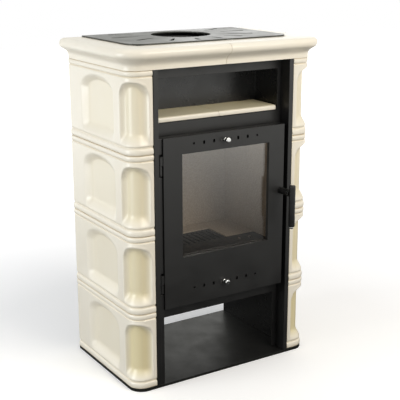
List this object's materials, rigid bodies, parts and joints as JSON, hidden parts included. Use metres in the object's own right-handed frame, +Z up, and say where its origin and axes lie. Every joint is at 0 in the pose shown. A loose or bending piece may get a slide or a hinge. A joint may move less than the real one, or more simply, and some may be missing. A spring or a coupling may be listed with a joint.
{
  "type": "tiled stove",
  "caption": "Upright wood stove clad in cream tiles under a moulded cornice, with a glazed hinged door, sliding air controls, a warming niche and an open log store.",
  "frame": {"origin": "centre of the base plate's bottom face, on the floor", "axes": "+X to the stove's right as seen from the front, +Y to the rear, +Z up"},
  "size_m": [0.702, 0.4639, 1.0343],
  "materials": {
    "glaze": "gloss",
    "black_steel": "satin",
    "cast_iron": "matte",
    "plain_steel": "matte",
    "chrome": "polished",
    "fire_board": "matte",
    "rope_seal": "matte",
    "fire_glass": "gloss"
  },
  "bodies": {
    "frame": {"tile_1_right": "glaze", "tile_1_left": "glaze", "tile_2_right": "glaze", "tile_2_left": "glaze", "tile_3_right": "glaze", "tile_3_left": "glaze", "tile_4_right": "glaze", "tile_4_left": "glaze", "cornice_right": "glaze", "cornice_left": "glaze", "shelf_tile_right": "glaze", "shelf_tile_left": "glaze", "base_plate": "black_steel", "top_plate": "black_steel", "trim_right": "black_steel", "trim_left": "black_steel", "front_panel": "black_steel", "side_sheet_right": "black_steel", "side_sheet_left": "black_steel", "rear_shield": "black_steel", "storage_ceiling": "black_steel", "niche_box": "black_steel", "hinge_post": "black_steel", "latch_keeper": "black_steel", "upper_hinge_bracket": "black_steel", "lower_hinge_bracket": "black_steel", "flue_collar": "cast_iron", "grate": "cast_iron", "sill_plate": "cast_iron", "body_bottom_plate": "plain_steel", "body_side_plate_right": "plain_steel", "body_side_plate_left": "plain_steel", "body_back_plate": "plain_steel", "body_ceiling_plate": "plain_steel", "smoke_box_front": "plain_steel", "smoke_box_roof": "plain_steel", "brick_carrier": "plain_steel", "ash_pan": "plain_steel", "back_lining": "fire_board", "side_lining_right": "fire_board", "side_lining_left": "fire_board", "floor_lining": "fire_board", "baffle": "fire_board"},
    "door": {"door_panel": "black_steel", "door_inner_plate": "black_steel", "door_seal": "rope_seal", "glass_gasket": "rope_seal", "door_glass": "fire_glass", "glass_retainer": "black_steel", "upper_door_knuckle": "black_steel", "lower_door_knuckle": "black_steel"},
    "upper_air": {"upper_air_slider": "plain_steel", "upper_air_knob": "chrome"},
    "lower_air": {"lower_air_slider": "plain_steel", "lower_air_knob": "chrome"},
    "handle": {"handle_hub": "cast_iron", "handle_spindle": "plain_steel", "handle_grip": "cast_iron", "handle_button": "chrome", "latch_cam": "plain_steel"}
  },
  "joints": [
    {"name": "door_hinge", "type": "hinge", "parent": "frame", "child": "door", "pos_m": [-0.22362, -0.192, 0.5095], "axis": [0, 0, -1], "range_deg": [0, 100]},
    {"name": "handle_turn", "type": "hinge", "parent": "door", "child": "handle", "pos_m": [0.20675, -0.22, 0.56], "axis": [0, -1, 0], "range_deg": [0, 85]},
    {"name": "upper_air_slide", "type": "slide", "parent": "door", "child": "upper_air", "axis": [1, 0, 0], "range_m": [-0.01, 0.018]},
    {"name": "lower_air_slide", "type": "slide", "parent": "door", "child": "lower_air", "axis": [1, 0, 0], "range_m": [-0.01, 0.018]}
  ]
}
